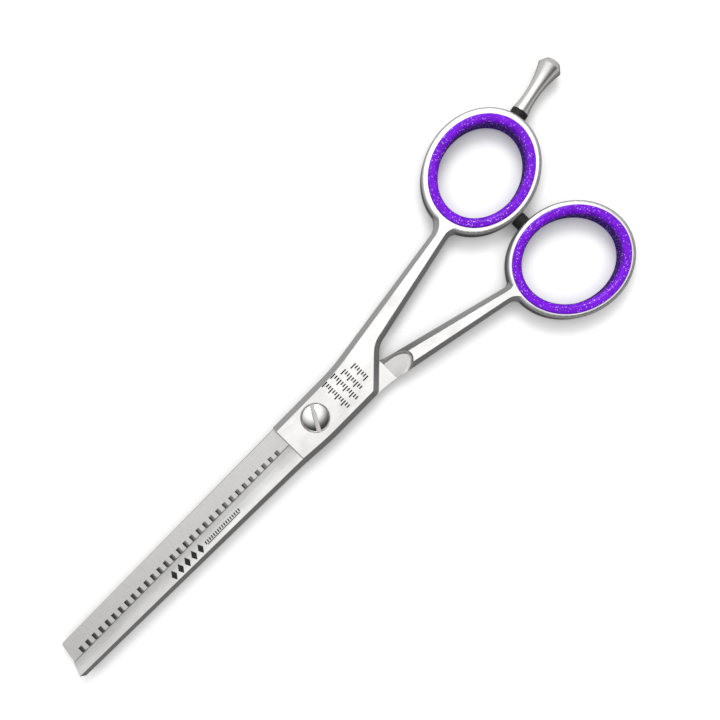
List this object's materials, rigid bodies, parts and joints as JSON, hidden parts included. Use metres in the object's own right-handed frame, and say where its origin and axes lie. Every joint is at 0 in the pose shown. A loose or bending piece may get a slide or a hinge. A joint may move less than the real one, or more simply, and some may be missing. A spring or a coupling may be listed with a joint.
{
  "type": "hairdressing thinning scissors",
  "caption": "Thinning scissors: a plain blade over a slotted blade on a slotted pivot screw, lined finger rings, rubber bumper and a screw-in finger rest.",
  "frame": {"origin": "where the pivot axis meets the plane the closed scissors lie on", "axes": "+X along the closed cutting line toward the blade tips, +Y toward the thumb ring, +Z along the pivot axis toward the screw head"},
  "size_m": [0.1652, 0.052, 0.006],
  "materials": {
    "satin_steel": "satin ground stainless steel",
    "polished_screw": "polished steel",
    "turned_steel": "fine turned steel",
    "washer_plastic": "dark low-friction plastic",
    "black_rubber": "matte black rubber",
    "purple_glitter": "soft glossy purple plastic with fine glitter"
  },
  "bodies": {
    "thumb_side": {"toothed_half": "satin_steel", "thumb_insert": "purple_glitter", "bumper": "black_rubber", "glide_washer": "washer_plastic"},
    "finger_side": {"straight_half": "satin_steel", "finger_insert": "purple_glitter", "finger_rest_collar": "black_rubber", "head_washer": "washer_plastic"},
    "screw": {"pivot_screw": "polished_screw"},
    "rest": {"finger_rest": "turned_steel"}
  },
  "joints": [
    {"name": "blade_pivot", "type": "hinge", "parent": "thumb_side", "child": "finger_side", "pos_m": [0, 0, 0], "axis": [0, 0, 1], "range_deg": [0, 130]},
    {"name": "tension_screw", "type": "hinge", "parent": "thumb_side", "child": "screw", "pos_m": [0, 0, 0], "axis": [0, 0, 1], "range_deg": [-90, 90]},
    {"name": "finger_rest_turn", "type": "hinge", "parent": "finger_side", "child": "rest", "pos_m": [-0.0762, -0.01465, 0.0028], "axis": [-0.9816, -0.1908, 0], "range_deg": [-180, 180]}
  ]
}
